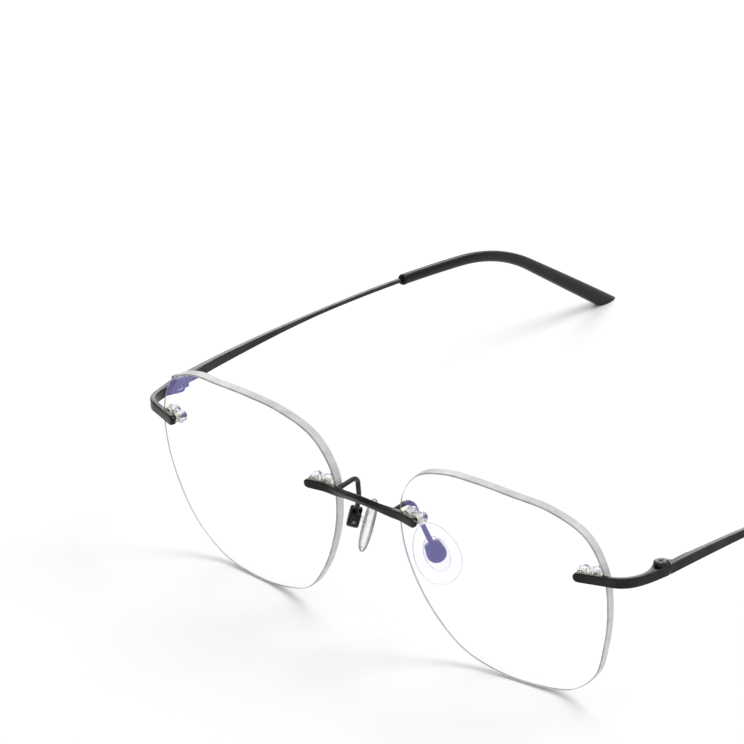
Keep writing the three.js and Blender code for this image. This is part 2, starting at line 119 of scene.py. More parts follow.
MM = 0.001
fold = next(joint for joint in frame["joints"] if joint["name"] == "temple_left_fold")
rest_tilt = math.atan2(-fold["axis"][1], fold["axis"][2])
upright = Matrix.Rotation(rest_tilt, 4, "X")
to_row = (
    Matrix.Translation(Vector(fold["pos_m"]) - upright @ (HINGE * MM)) @ upright @ Matrix.Scale(MM, 4)
)
mirror = Matrix.Scale(-1, 4, (1, 0, 0))


def clamp(value, low=0, high=1):
    return max(low, min(high, value))


def lerp(a, b, share):
    return a + (b - a) * share


def smoothstep(value, start, end):
    share = clamp((value - start) / (end - start))
    return share * share * (3 - 2 * share)


def sag(distance, radius):
    """How far a sphere's surface has fallen back at a distance from its axis."""
    return radius - math.sqrt(radius * radius - distance * distance)


def rounded_end(distance, stretch):
    """The share of its full size that a bar has near its round end, never quite zero."""
    past = 1 - clamp(distance / stretch)
    return math.sqrt(max(1 - past * past, 0.0004))


# Frames.

lens_frame = (
    Matrix.Translation(LENS_CENTRE)
    @ Matrix.Rotation(PANTO_TILT, 4, "X")
    @ Matrix.Rotation(FACE_WRAP, 4, "Z")
)


def mount_frame(mount):
    """Square to the lens front at a mount: +X outwards along the lens, +Y back."""
    x, z = mount
    reach = math.hypot(x, z)
    inward = math.sqrt(LENS_RADIUS * LENS_RADIUS - reach * reach)
    return (
        lens_frame
        @ Matrix.Translation((x, sag(reach, LENS_RADIUS), z))
        @ Matrix.Rotation(math.atan2(x, inward), 4, "Z")
        @ Matrix.Rotation(-math.atan2(z, inward), 4, "X")
    )


temporal_frame = mount_frame(TEMPORAL_MOUNT)
nasal_frame = mount_frame(NASAL_MOUNT)
hinge_frame = Matrix.Translation(HINGE) @ Matrix.Rotation(-TEMPLE_SPLAY, 4, "Z")

# The pad frame stands on the pad screw: +X back along the screw, +Y down the pad, +Z towards the nose.
screw_axis = PAD_DOWN.cross(PAD_FACING).normalized()
pad_axes = Matrix((screw_axis, PAD_DOWN, screw_axis.cross(PAD_DOWN))).transposed()
pad_frame = Matrix.Translation(PAD_BOX) @ pad_axes.to_4x4()
lathe_back = Matrix.Rotation(math.radians(-90), 4, "X")


# Mesh work. A cutter reaches THROUGH past what it cuts, and points nearer than CLOSEST are one point.

THROUGH = 3
CLOSEST = 1e-6


def new_mesh(points, faces):
    mesh = bpy.data.meshes.new("shape")
    mesh.from_pydata([tuple(point) for point in points], [], faces)
    mesh.validate()
    return mesh


def joined(*meshes):
    """One mesh that holds several closed shells."""
    points = []
    faces = []
    for mesh in meshes:
        start = len(points)
        points += [vertex.co.copy() for vertex in mesh.vertices]
        faces += [[start + index for index in polygon.vertices] for polygon in mesh.polygons]
    return new_mesh(points, faces)


def moved(mesh, matrix):
    mesh.transform(matrix)
    if matrix.determinant() < 0:
        mesh.flip_normals()
    return mesh


def with_modifiers(mesh, add_modifiers):
    """The mesh after a function has put modifiers on an object that holds it."""
    holder = bpy.data.objects.new("holder", mesh)
    bpy.context.scene.collection.objects.link(holder)
    add_modifiers(holder)
    depsgraph = bpy.context.evaluated_depsgraph_get()
    result = bpy.data.meshes.new_from_object(holder.evaluated_get(depsgraph))
    bpy.data.objects.remove(holder)
    return result


def combined(mesh, others, operation):
    helpers = [bpy.data.objects.new("helper", other) for other in others]
    for helper in helpers:
        bpy.context.scene.collection.objects.link(helper)

    def add(holder):
        for helper in helpers:
            modifier = holder.modifiers.new("combine", "BOOLEAN")
            modifier.operation = operation
            modifier.solver = "EXACT"
            modifier.object = helper

    result = with_modifiers(mesh, add)
    for helper in helpers:
        bpy.data.objects.remove(helper)
    return result


def cut(mesh, *others):
    return combined(mesh, others, "DIFFERENCE")


def fused(mesh, *others):
    return combined(mesh, others, "UNION")


def softened(mesh, width, segments=3, angle=35):
    """Rounds the sharp edges over."""

    def add(holder):
        modifier = holder.modifiers.new("soft_edges", "BEVEL")
        modifier.width = width
        modifier.segments = segments
        modifier.limit_method = "ANGLE"
        modifier.angle_limit = math.radians(angle)

    return with_modifiers(mesh, add)


def loft(rings):
    """A closed solid through rings of equally many points, each turning the same way."""
    count = len(rings[0])
    points = [point for ring in rings for point in ring]
    faces = []
    for i in range(len(rings) - 1):
        for j in range(count):
            k = (j + 1) % count
            faces.append([i * count + j, i * count + k, (i + 1) * count + k, (i + 1) * count + j])
    last = (len(rings) - 1) * count
    faces.append(list(reversed(range(count))))
    faces.append([last + j for j in range(count)])
    return new_mesh(points, faces)


def rounded_rectangle(half_a, half_b, radius, steps=5):
    """Points round a rectangle with round corners, turning from +a to +b."""
    radius = min(radius, half_a * 0.98, half_b * 0.98)
    points = []
    for corner in range(4):
        sign_a = 1 if corner in (0, 3) else -1
        sign_b = 1 if corner < 2 else -1
        for i in range(steps + 1):
            angle = math.radians(90 * (corner + i / steps))
            points.append(
                (
                    sign_a * (half_a - radius) + radius * math.cos(angle),
                    sign_b * (half_b - radius) + radius * math.sin(angle),
                )
            )
    return points


def oval(half_a, half_b, squareness=1, count=32):
    points = []
    for i in range(count):
        angle = 2 * math.pi * (i + 0.5) / count
        c = math.cos(angle)
        s = math.sin(angle)
        a = half_a * math.copysign(abs(c) ** squareness, c)
        b = half_b * math.copysign(abs(s) ** squareness, s)
        points.append((a, b))
    return points


def lathe(profile, sides=40):
    """A round solid about +Z through (radius, height) points from its bottom centre to its top centre."""
    rings = []
    for radius, height in profile:
        ring = []
        for i in range(sides):
            angle = 2 * math.pi * i / sides
            ring.append(Vector((radius * math.cos(angle), radius * math.sin(angle), height)))
        rings.append(ring)
    return loft(rings)


def cylinder(radius, bottom, top, edge=0, sides=40):
    """A round solid about +Z with small chamfers of the given width."""
    if not edge:
        return lathe([(radius, bottom), (radius, top)], sides)
    inner = radius - edge
    return lathe([(inner, bottom), (radius, bottom + edge), (radius, top - edge), (inner, top)], sides)


def block(low, high):
    (x0, y0, z0), (x1, y1, z1) = low, high
    bottom = [Vector((x, y, z0)) for x, y in ((x0, y0), (x1, y0), (x1, y1), (x0, y1))]
    top = [Vector((point.x, point.y, z1)) for point in bottom]
    return loft([bottom, top])


def extruded(outline, bottom, top):
    rings = [[Vector((x, y, z)) for x, y in outline] for z in (bottom, top)]
    return loft(rings)


def arc(centre, radius, start, end, steps):
    """Points on an arc between two angles in degrees."""
    points = []
    for i in range(steps + 1):
        angle = math.radians(lerp(start, end, i / steps))
        points.append((centre[0] + radius * math.cos(angle), centre[1] + radius * math.sin(angle)))
    return points


def even_distances(count):
    """Shares from 0 to 1 that lie closer together at both ends."""
    return [0.5 - 0.5 * math.cos(math.pi * i / count) for i in range(count + 1)]


def catmull(points, count, closed=False):
    """Points on a smooth curve through the given ones (centripetal Catmull-Rom)."""
    total = len(points)
    spans = total if closed else total - 1
    curve = []
    for span in range(spans):
        near = []
        for offset in (-1, 0, 1, 2):
            index = span + offset
            near.append(points[index % total] if closed else points[int(clamp(index, 0, total - 1))])
        p0, p1, p2, p3 = near
        d1 = max((p1 - p0).length, CLOSEST) ** 0.5
        d2 = (p2 - p1).length ** 0.5
        d3 = max((p3 - p2).length, CLOSEST) ** 0.5
        if (p1 - p0).length < CLOSEST:
            d1 = d2
        if (p3 - p2).length < CLOSEST:
            d3 = d2
        leave = (p1 - p0) / d1 - (p2 - p0) / (d1 + d2) + (p2 - p1) / d2
        arrive = (p2 - p1) / d2 - (p3 - p1) / (d2 + d3) + (p3 - p2) / d3
        leave = leave * d2
        arrive = arrive * d2
        for i in range(count):
            t = i / count
            curve.append(
                p1 * (2 * t**3 - 3 * t**2 + 1)
                + leave * (t**3 - 2 * t**2 + t)
                + p2 * (3 * t**2 - 2 * t**3)
                + arrive * (t**3 - t**2)
            )
    if not closed:
        curve.append(points[-1].copy())
    return curve


# The lens.

LENS_OUTLINE = [
    (26, 0.1), (25.9, 9), (22.2, 16.7), (14.5, 21), (5.6, 22.4), (-3.2, 22.9),
    (-12.1, 22.1), (-20.4, 18.7), (-25.3, 11.6), (-25.8, 2.8), (-23.5, -5.7), (-19.2, -13.7),
    (-13.3, -20), (-4.6, -22.7), (4.3, -23.2), (13.2, -22.1), (20.2, -16.8), (23.9, -8.7),
]
LENS_BEVEL = 0.22
LENS_STEPS = 12
LENS_RING_SHARES = [0.05, 0.12, 0.2, 0.3, 0.4, 0.5, 0.6, 0.7, 0.8, 0.88, 0.95]


def lens():
    """Two polished spheres, a ground edge with a small bevel on each rim, and four drilled holes."""
    outline = catmull([Vector((x, z)) for x, z in LENS_OUTLINE], LENS_STEPS, closed=True)
    count = len(outline)

    def shrunk(distance):
        ring = []
        for i, point in enumerate(outline):
            along = outline[(i + 1) % count] - outline[i - 1]
            ring.append(point + Vector((-along.y, along.x)).normalized() * distance)
        return ring

    def on_sphere(ring, depth, radius, shift=0):
        return [Vector((p.x, depth + sag(p.length, radius) + shift, p.y)) for p in ring]

    back_radius = LENS_RADIUS - LENS_THICKNESS
    beveled = shrunk(LENS_BEVEL)
    inner = [[point * share for point in beveled] for share in LENS_RING_SHARES]
    rings = [on_sphere(ring, 0, LENS_RADIUS) for ring in inner]
    rings.append(on_sphere(beveled, 0, LENS_RADIUS))
    rings.append(on_sphere(outline, 0, LENS_RADIUS, LENS_BEVEL))
    rings.append(on_sphere(outline, LENS_THICKNESS, back_radius, -LENS_BEVEL))
    rings.append(on_sphere(beveled, LENS_THICKNESS, back_radius))
    rings += [on_sphere(ring, LENS_THICKNESS, back_radius) for ring in reversed(inner)]
    blank = moved(loft(rings), lens_frame)
    holes = []
    for mount in (temporal_frame, nasal_frame):
        for side in (-1, 1):
            hole = moved(cylinder(DRILL_RADIUS, -1, 4, sides=32), lathe_back)
            holes.append(moved(hole, mount @ Matrix.Translation((side * POST_SPACING / 2, 0, 0))))
    return cut(blank, *holes)


# The bridge, the endpieces and their posts.


def posts(mount):
    """The two posts that pass through a lens from the middle of the bar in front of it."""
    bars = []
    for side in (-1, 1):
        post = cylinder(POST_RADIUS, -BAR_STANDOFF - BAR_HALF_DEPTH, POST_REACH, POST_CHAMFER, sides=24)
        moved(post, lathe_back)
        bars.append(moved(post, mount @ Matrix.Translation((side * POST_SPACING / 2, 0, 0))))
    return bars


def bridge_depth(x):
    mount = nasal_frame.translation
    at_mount = mount.y - BAR_STANDOFF - BAR_HALF_DEPTH
    distance = abs(x)
    along_lens = at_mount - BRIDGE_SLOPE * (max(distance, BRIDGE_STRAIGHT) - mount.x)
    if distance > BRIDGE_STRAIGHT:
        return along_lens
    share = distance / BRIDGE_STRAIGHT
    leave = share * share * (share - 1) * BRIDGE_STRAIGHT
    return lerp(at_mount - BRIDGE_FORWARD, along_lens, smoothstep(share, 0, 1)) - BRIDGE_SLOPE * leave


def bridge_rise(x):
    return BRIDGE_HEIGHT + BRIDGE_ARCH * (1 - smoothstep(abs(x), 0, BRIDGE_ARCH_REACH))


def bridge():
    """A bar that arches over the nose, with its section turned at the middle, and two posts at each end."""
    rings = []
    for share in even_distances(120):
        x = lerp(-BRIDGE_HALF_LENGTH, BRIDGE_HALF_LENGTH, share)
        over_lens = smoothstep(abs(x), *BRIDGE_SECTION_CHANGE)
        to_end = BRIDGE_HALF_LENGTH - abs(x)
        half_height = lerp(BRIDGE_MIDDLE_HALF_HEIGHT, BRIDGE_LENS_HALF_HEIGHT, over_lens)
        half_depth = lerp(BRIDGE_MIDDLE_HALF_DEPTH, BAR_HALF_DEPTH, over_lens)
        half_height *= rounded_end(to_end, BAR_END_HEIGHT)
        half_depth *= rounded_end(to_end, BAR_END_DEPTH)
        turn = BRIDGE_MIDDLE_TURN * (1 - over_lens)
        c = math.cos(turn)
        s = math.sin(turn)
        centre = Vector((x, bridge_depth(x), bridge_rise(x)))
        section = rounded_rectangle(half_depth, half_height, BAR_CORNER)
        rings.append([centre + Vector((0, a * c - b * s, a * s + b * c)) for a, b in section])
    left = posts(nasal_frame)
    right = [moved(post.copy(), mirror) for post in left]
    return fused(loft(rings), *left, *right)


def endpiece_path(count=90):
    """The middle line in plan and the distance along it, from the round end to the hinge."""
    before_corner = 2.8
    after_corner = 0.45
    before_hinge = 2
    steps = 60
    crowding = 1.35

    def on_lens(x):
        return temporal_frame @ Vector((x, -BAR_STANDOFF - BAR_HALF_DEPTH, 0))

    def on_hinge(y):
        return hinge_frame @ Vector((OUTER_FACE - BAR_HALF_DEPTH, y, 0))

    start = on_lens(-POST_SPACING / 2 - ENDPIECE_PAST_POST)
    along = on_lens(1) - on_lens(0)
    corner = start + along * ((CORNER_X - start.x) / along.x)
    bend = on_hinge(-before_hinge)
    end = on_hinge(SPLIT)
    turn_start = corner - along * before_corner
    turn_end = corner.lerp(bend, after_corner)

    def quadratic(a, b, c, t):
        return a * (1 - t) ** 2 + b * 2 * t * (1 - t) + c * t * t

    fine = [start.lerp(turn_start, i / steps) for i in range(steps)]
    fine += [quadratic(turn_start, corner, turn_end, i / steps) for i in range(steps)]
    fine += [quadratic(turn_end, bend, end, i / steps) for i in range(steps + 1)]
    fine = [Vector((point.x, point.y)) for point in fine]
    lengths = [0]
    for a, b in zip(fine, fine[1:]):
        lengths.append(lengths[-1] + (b - a).length)
    path = []
    index = 0
    for i in range(count + 1):
        share = i / count
        distance = lengths[-1] * (share**crowding)
        while index < len(fine) - 2 and lengths[index + 1] < distance:
            index += 1
        step = lengths[index + 1] - lengths[index]
        point = fine[index].lerp(fine[index + 1], clamp((distance - lengths[index]) / step))
        heading = (fine[index + 1] - fine[index]).normalized()
        path.append((point, heading, distance))
    return path


def boss_fillet(to_end):
    """How much thicker the bar grows on its inner side, near the hinge end, to meet the boss."""
    width = 1.7
    full_until = 2.2
    fade = 4.5
    away = clamp((to_end - full_until) / fade)
    return width * (1 - away) ** 2 * smoothstep(to_end, 0.9, 1.5)


def endpiece_bar():
    """The bar from its round end on the lens, round the corner, to the flat split beside the hinge."""
    path = endpiece_path()
    length = path[-1][2]
    rings = []
    for point, heading, distance in path:
        share = distance / length
        half_height = lerp(*ENDPIECE_HALF_HEIGHT, smoothstep(share, 0.2, 0.6))
        half_height *= rounded_end(distance, BAR_END_HEIGHT)
        half_depth = BAR_HALF_DEPTH * rounded_end(distance, BAR_END_DEPTH)
        fillet = boss_fillet(length - distance)
        rise = ENDPIECE_RISE * (1 - smoothstep(share, 0.4, 0.8))
        ring = []
        for a, b in rounded_rectangle(half_depth, half_height, BAR_CORNER):
            offset = a + (fillet if a > 0 else 0)
            ring.append(Vector((point.x - heading.y * offset, point.y + heading.x * offset, rise + b)))
        rings.append(list(reversed(ring)))
    return loft(rings)


def endpiece():
    """The bar with its two posts, and the boss with a slot for the temple's tongue."""
    top = BOSS_TOP
    low = BOSS_BOTTOM
    radius = BOSS_RADIUS
    edge = 0.22
    step = 0.06
    flat = 0.18
    profile = [
        (radius - edge, low), (radius - step, low + step), (radius, low + edge),
        (radius, top - edge), (radius - step, top - step), (radius - flat, top),
    ]
    boss = moved(lathe(profile, sides=64), hinge_frame)
    head_hole = 1.4
    head_depth = 0.4
    back_overlap = 0.5
    slot = SLOT_HALF_HEIGHT
    cutters = [
        cylinder(SLOT_RADIUS, -slot, slot, sides=48),
        block((-THROUGH, 0, -slot), (SLOT_RADIUS, THROUGH, slot)),
        block((-THROUGH, -SLOT_RADIUS, -slot), (0, back_overlap, slot)),
        cylinder(head_hole, top - head_depth, THROUGH, sides=48),
        cylinder(SCREW_HOLE_RADIUS, -THROUGH, THROUGH, sides=32),
    ]
    whole = fused(endpiece_bar(), boss, *posts(temporal_frame))
    return cut(whole, *[moved(cutter, hinge_frame) for cutter in cutters])


def screw_head(radius, bottom, top, recess):
    """A flat head with a soft rim and a cross recess."""
    edge = 0.14
    step = 0.05
    centre = 0.02
    profile = [
        (radius, bottom), (radius, top - edge), (radius - step, top - step), (radius - edge, top),
        (radius * 0.62, top), (radius * 0.58, top - step), (centre, top - step),
    ]
    head = lathe(profile, sides=48)
    arm = radius * 0.5
    half = radius * 0.11
    floor = top - recess
    return cut(
        head,
        block((-arm, -half, floor), (arm, half, top + 1)),
        block((-half, -arm, floor), (half, arm, top + 1)),
    )


def hinge_screw():
    seat = BOSS_TOP - 0.38
    proud = 0.14
    recess = 0.3
    shank_radius = 0.6
    shank = cylinder(shank_radius, BOSS_BOTTOM + 0.02, seat + 0.1, 0.08, sides=32)
    head = screw_head(SCREW_HEAD_RADIUS, seat, BOSS_TOP + proud, recess)
    return moved(joined(shank, head), hinge_frame)


def sleeve(mount):
    """Two clear barrels through the lens, joined behind it by a flange with two rounded humps."""
    flange = LENS_THICKNESS + 0.2
    in_lens = [(0.86, 0.1), (0.88, 0.2), (0.88, flange)]
    behind_lens = [
        (1.36, 0.04), (1.42, 0.18), (1.42, 0.5), (1.34, 0.64), (1.2, 0.7),
        (1.16, 1.05), (1.06, 1.3), (0.86, 1.44), (0.6, 1.48),
    ]
    profile = in_lens + [(radius, flange + height) for radius, height in behind_lens]
    bore_radius = POST_RADIUS + 0.08
    shells = []
    bores = []
    for side in (-1, 1):
        beside = Matrix.Translation((side * POST_SPACING / 2, 0, 0))
        shells.append(moved(moved(lathe(profile), lathe_back), beside))
        bores.append(moved(moved(cylinder(bore_radius, -1, 6, sides=24), lathe_back), beside))
    half_width = 1.4
    half_height = 0.95
    web = block((-half_width, flange + 0.04, -half_height), (half_width, flange + 0.8, half_height))
    whole = fused(softened(web, 0.12), *shells)
    return moved(cut(whole, *bores), mount)


# The temples.


def temple_line(length):
    """The outer face line in the hinge frame: its point and how far it has turned down."""
    slight = min(length, BEND_START) / ARM_RADIUS
    bent = clamp((length - BEND_START) / BEND_RADIUS, 0, BEND_ANGLE)
    after = max(length - BEND_START - BEND_RADIUS * BEND_ANGLE, 0)
    angle = slight + bent
    along = ARM_RADIUS * math.sin(slight) + BEND_RADIUS * (math.sin(angle) - math.sin(slight))
    fall = ARM_RADIUS * (1 - math.cos(slight)) + BEND_RADIUS * (math.cos(slight) - math.cos(angle))
    x = OUTER_FACE + TIP_SPREAD * (length / TEMPLE_LENGTH) ** 2
    point = Vector((x, along + after * math.cos(angle), -fall - after * math.sin(angle)))
    return point, angle


def temple_bar(lengths, section):
    """A bar along the temple. section(length) gives its inset from the outer face and its outline."""
    rings = []
    for length in lengths:
        point, angle = temple_line(length)
        inset, outline = section(length)
        up = Vector((0, math.sin(angle), math.cos(angle)))
        ring = [point + Vector((-inset - a, 0, 0)) + up * b for a, b in outline]
        rings.append([hinge_frame @ corner for corner in ring])
    return loft(rings)


def temple_arm():
    """A flat bar, thicker beside the hinge, that narrows to a thin core inside the tip."""
    flare_width = 0.4
    flare_length = 14
    half_depths = (0.6, TIP_INSET - 0.05)
    half_heights = (1.1, 0.42)
    corner = 0.16
    steps = 150

    def section(length):
        flare = flare_width * (1 - clamp(length / flare_length)) ** 2
        inset = lerp(*half_depths, smoothstep(length, 0, 45)) + flare
        in_tip = smoothstep(length, TIP_START, TIP_START + 6)
        half_depth = lerp(inset, CORE_HALF_SIZE, in_tip)
        half_height = lerp(lerp(*half_heights, smoothstep(length, 5, 50)), CORE_HALF_SIZE, in_tip)
        return lerp(inset, TIP_INSET, in_tip), rounded_rectangle(half_depth, half_height, corner)

    lengths = [lerp(SPLIT + SPLIT_GAP, CORE_LENGTH, i / steps) for i in range(steps + 1)]
    boss_room = 1.83
    block_face = 0.3
    block_end = 7.3
    clearance = [
        cylinder(boss_room, -THROUGH, THROUGH, sides=64),
        block((-THROUGH, 0, -THROUGH), (block_face, block_end, THROUGH)),
    ]
    blank = temple_bar(lengths, section)
    return cut(blank, *[moved(shape, hinge_frame) for shape in clearance])


def temple_hinge():
    """The block let into the inner side of the arm, with the tongue that turns on the screw."""
    plate = [
        (0.3, 1.9), (0.3, 7.28), (0.2, 7.28), (0.1, 6),
        (0.1, 2.9), (-0.3, 2.9), (-0.3, 2.1), (-0.1, 1.9),
    ]
    knuckle = [(0.5, 1.86), (0.5, 2.9), (-0.55, 2.9), (-0.62, 2.8), (-0.62, 1.86)]
    body = fused(
        softened(extruded(plate, -1.0, 1.0), 0.08),
        softened(extruded(knuckle, -1.3, 0.92), 0.12),
    )
    tall = TONGUE_HALF_HEIGHT
    round_radius = 1.15
    tongue = fused(
        cylinder(round_radius, -tall, tall, 0.06, sides=48),
        block((-0.5, 0, -tall), (0.45, 2.4, tall)),
    )
    screw_hole = cylinder(SCREW_HOLE_RADIUS, -THROUGH, THROUGH, sides=32)
    return moved(cut(fused(body, tongue), screw_hole), hinge_frame)


def temple_tip():
    """A soft round sleeve with a rolled lip at its front, thicker behind the ear and cut off level."""
    half_depths = (1.04, 1.42)
    half_heights = (1.14, 1.66)
    thickens_from = 96
    mouth = 0.72
    lip_round = 0.7
    lip_height = 0.035
    lip_place = 0.8
    squareness = 0.86
    front_length = 3
    front_steps = 20
    rest_steps = 120
    past_end = 5

    def section(length):
        thicker = smoothstep(length, thickens_from, TEMPLE_LENGTH)
        from_start = length - TIP_START
        rounding = lerp(mouth, 1, rounded_end(from_start, lip_round))
        rounding *= 1 + lip_height * math.exp(-(((from_start - lip_place) / lip_round) ** 2))
        half_depth = lerp(*half_depths, thicker) * rounding
        half_height = lerp(*half_heights, thicker) * rounding
        return TIP_INSET, oval(half_depth, half_height, squareness, 36)

    front_end = TIP_START + front_length
    back_end = TEMPLE_LENGTH + past_end
    lengths = [TIP_START + front_length * (i / front_steps) ** 2 for i in range(front_steps)]
    lengths += [lerp(front_end, back_end, i / rest_steps) for i in range(rest_steps + 1)]
    ground = block((0, 0, -60), (100, 120, 0))
    surface = to_row.inverted() @ Matrix.Scale(1 / MM, 4).inverted()
    moved(ground, surface)
    return softened(cut(temple_bar(lengths, section), ground), 0.12, 4, angle=40)


# The nose pads and what carries them.


def pad_arm():
    """A round wire from the back of the bridge, up and back over the lens rim and down to the pad box."""
    into_bar = 0.3
    root = Vector((PAD_ARM_ROOT_X, bridge_depth(PAD_ARM_ROOT_X) + into_bar, bridge_rise(PAD_ARM_ROOT_X)))
    box_top = pad_frame @ Vector((0, -1.6, -0.2))
    route = catmull(
        [
            root,
            Vector((7.8, 4.6, 0.7)),
            Vector((7.95, 6.2, 0.6)),
            Vector((8.2, 7.4, -0.3)),
            Vector((8.6, 8, -2.2)),
            Vector((9.3, 8.7, -5.2)),
            box_top - PAD_DOWN * 1.8,
            box_top,
        ],
        10,
    )
    rings = []
    side = Vector((1, 0, 0))
    for i, point in enumerate(route):
        heading = (route[min(i + 1, len(route) - 1)] - route[max(i - 1, 0)]).normalized()
        across = (side - heading * side.dot(heading)).normalized()
        up = heading.cross(across)
        section = oval(PAD_ARM_RADIUS, PAD_ARM_RADIUS, 1, 20)
        rings.append([point + across * a + up * b for a, b in section])
    return loft(rings)


def pad_box():
    """A shield-shaped cup, open towards the nose, that holds the stud of the pad between its walls."""
    outline = arc((0, 0.35), 1.95, -20, 200, 24)
    outline += arc((-0.9, -1.35), 0.75, 190, 260, 6)
    outline += arc((0.9, -1.35), 0.75, 280, 350, 6)
    body = softened(extruded(outline, -1.45, 1.15), 0.5, 5)
    half_gap = 0.57
    gap_floor = -0.95
    gap = block((-half_gap, -THROUGH, gap_floor), (half_gap, THROUGH, THROUGH))
    screw_hole = moved(cylinder(0.55, -THROUGH, THROUGH, sides=32), Matrix.Rotation(math.radians(90), 4, "Y"))
    return moved(cut(body, gap, screw_hole), pad_frame)


def pad_screw():
    radius = 0.75
    height = 0.34
    seat = -1.22
    head = moved(screw_head(radius, 0, height, 0.16), Matrix.Rotation(math.radians(-90), 4, "Y"))
    moved(head, Matrix.Translation((seat, 0, 0)))
    shank = cylinder(0.42, -1.3, 1.25, 0.08, sides=24)
    moved(shank, Matrix.Rotation(math.radians(90), 4, "Y"))
    return moved(joined(head, shank), pad_frame)


def pad_insert():
    """A hard oval plate with a waffle face, and the stud that the screw goes through."""
    half_width = 2.4
    half_length = 3.9
    rows = 26
    columns = 72
    middle_share = 0.985
    relief_depth = 0.09
    relief_pitch = 0.8
    top = PAD_BACK + 0.55
    rings = [[], []]
    for j in range(columns):
        angle = 2 * math.pi * j / columns
        edge = Vector((half_width * math.cos(angle), PAD_CENTRE + half_length * math.sin(angle), 0))
        rings[0].append(edge + Vector((0, 0, PAD_BACK + 0.1)))
        rings[1].append(edge + Vector((0, 0, top - 0.15)))
    for i in range(rows):
        share = 1 - middle_share * i / (rows - 1)
        ring = []
        for j in range(columns):
            angle = 2 * math.pi * j / columns
            x = half_width * math.cos(angle) * share * 0.94
            y = half_length * math.sin(angle) * share * 0.96
            wave = 2 * math.pi / relief_pitch
            relief = relief_depth * math.cos(x * wave) * math.cos(y * wave)
            ring.append(Vector((x, PAD_CENTRE + y, top + relief * smoothstep(share, 1.02, 0.85))))
        rings.append(ring)
    plate = loft(rings)
    stud = softened(block((-0.42, -0.6, -0.2), (0.42, 0.6, PAD_BACK + 0.3)), 0.12)
    return moved(joined(plate, stud), pad_frame)


def nose_pad():
    """A soft drop-shaped cushion, wider at its lower end, crowned on both faces with a rounded rim."""
    half_width = 4.4
    half_length = 6.75
    half_thickness = 1.15
    drop = 0.14
    rings = []
    sides = 56
    heights = [math.radians(angle) for angle in range(-86, 87, 6)]
    for height in heights:
        ring = []
        around = math.cos(height) ** 0.62
        up = math.sin(height)
        z = PAD_BACK + half_thickness + math.copysign(abs(up) ** 0.8, up) * half_thickness
        for j in range(sides):
            angle = 2 * math.pi * j / sides
            x = math.cos(angle) * around
            y = math.sin(angle) * around
            width = half_width * (1 + drop * y)
            ring.append(Vector((x * width, PAD_CENTRE + y * half_length, z)))
        rings.append(ring)
    return moved(loft(rings), pad_frame)


# Materials. Every one varies over its surface with noise in the object's own coordinates.


class Shader:
    """A node tree with short calls for the nodes that the materials share."""

    def __init__(self, name):
        self.material = bpy.data.materials.new(name)
        self.material.use_nodes = True
        self.nodes = self.material.node_tree.nodes
        self.links = self.material.node_tree.links
        self.nodes.clear()
        self.output = self.nodes.new("ShaderNodeOutputMaterial")
        self.place = self.nodes.new("ShaderNodeTexCoord").outputs["Object"]

    def link(self, source, target):
        self.links.new(source, target)

    def scaled(self, scale):
        mapping = self.nodes.new("ShaderNodeMapping")
        mapping.inputs["Scale"].default_value = scale
        self.link(self.place, mapping.inputs["Vector"])
        return mapping.outputs["Vector"]

    def noise(self, scale, detail=3, stretch=(1, 1, 1)):
        texture = self.nodes.new("ShaderNodeTexNoise")
        texture.inputs["Scale"].default_value = scale
        texture.inputs["Detail"].default_value = detail
        self.link(self.scaled(stretch), texture.inputs["Vector"])
        return texture.outputs["Fac"]

    def ramp(self, value, low, high, start=0.3, end=0.7):
        """A colour between low and high as the value goes from start to end."""
        node = self.nodes.new("ShaderNodeValToRGB")
        node.color_ramp.elements[0].position = start
        node.color_ramp.elements[1].position = end
        node.color_ramp.elements[0].color = (*low, 1)
        node.color_ramp.elements[1].color = (*high, 1)
        self.link(value, node.inputs["Fac"])
        return node.outputs["Color"]

    def between(self, value, low, high, start=0.3, end=0.7):
        """A number between low and high as the value goes from start to end."""
        node = self.nodes.new("ShaderNodeMapRange")
        node.inputs["From Min"].default_value = start
        node.inputs["From Max"].default_value = end
        node.inputs["To Min"].default_value = low
        node.inputs["To Max"].default_value = high
        self.link(value, node.inputs["Value"])
        return node.outputs["Result"]

    def bump(self, value, depth, strength=0.5):
        node = self.nodes.new("ShaderNodeBump")
        node.inputs["Distance"].default_value = depth * MM
        node.inputs["Strength"].default_value = strength
        self.link(value, node.inputs["Height"])
        return node.outputs["Normal"]

    def node(self, kind, **values):
        """A node with each named socket linked or set; three numbers are an opaque colour."""
        node = self.nodes.new(kind)
        for name, value in values.items():
            socket = node.inputs[name]
            if isinstance(value, bpy.types.NodeSocket):
                self.link(value, socket)
            elif isinstance(value, tuple):
                socket.default_value = (*value, 1)
            else:
                socket.default_value = value
        return node

    def principled(self, **values):
        sockets = {}
        for name, value in values.items():
            sockets[name.replace("_", " ").title().replace("Ior", "IOR")] = value
        return self.node("ShaderNodeBsdfPrincipled", **sockets)

    def mixed(self, share, first, second):
        node = self.nodes.new("ShaderNodeMixShader")
        if isinstance(share, bpy.types.NodeSocket):
            self.link(share, node.inputs[0])
        else:
            node.inputs[0].default_value = share
        self.link(first.outputs[0], node.inputs[1])
        self.link(second.outputs[0], node.inputs[2])
        return node

    def open(self, colour):
        return self.node("ShaderNodeBsdfTransparent", Color=colour)

    def lamp_rays(self):
        """One for the rays that carry light to what lies behind, and zero for the rest."""
        path = self.nodes.new("ShaderNodeLightPath")
        either = self.nodes.new("ShaderNodeMath")
        either.operation = "MAXIMUM"
        self.link(path.outputs["Is Shadow Ray"], either.inputs[0])
        self.link(path.outputs["Is Diffuse Ray"], either.inputs[1])
        return either.outputs[0]

    def finish(self, shader):
        self.link(shader.outputs[0], self.output.inputs["Surface"])
        return self.material


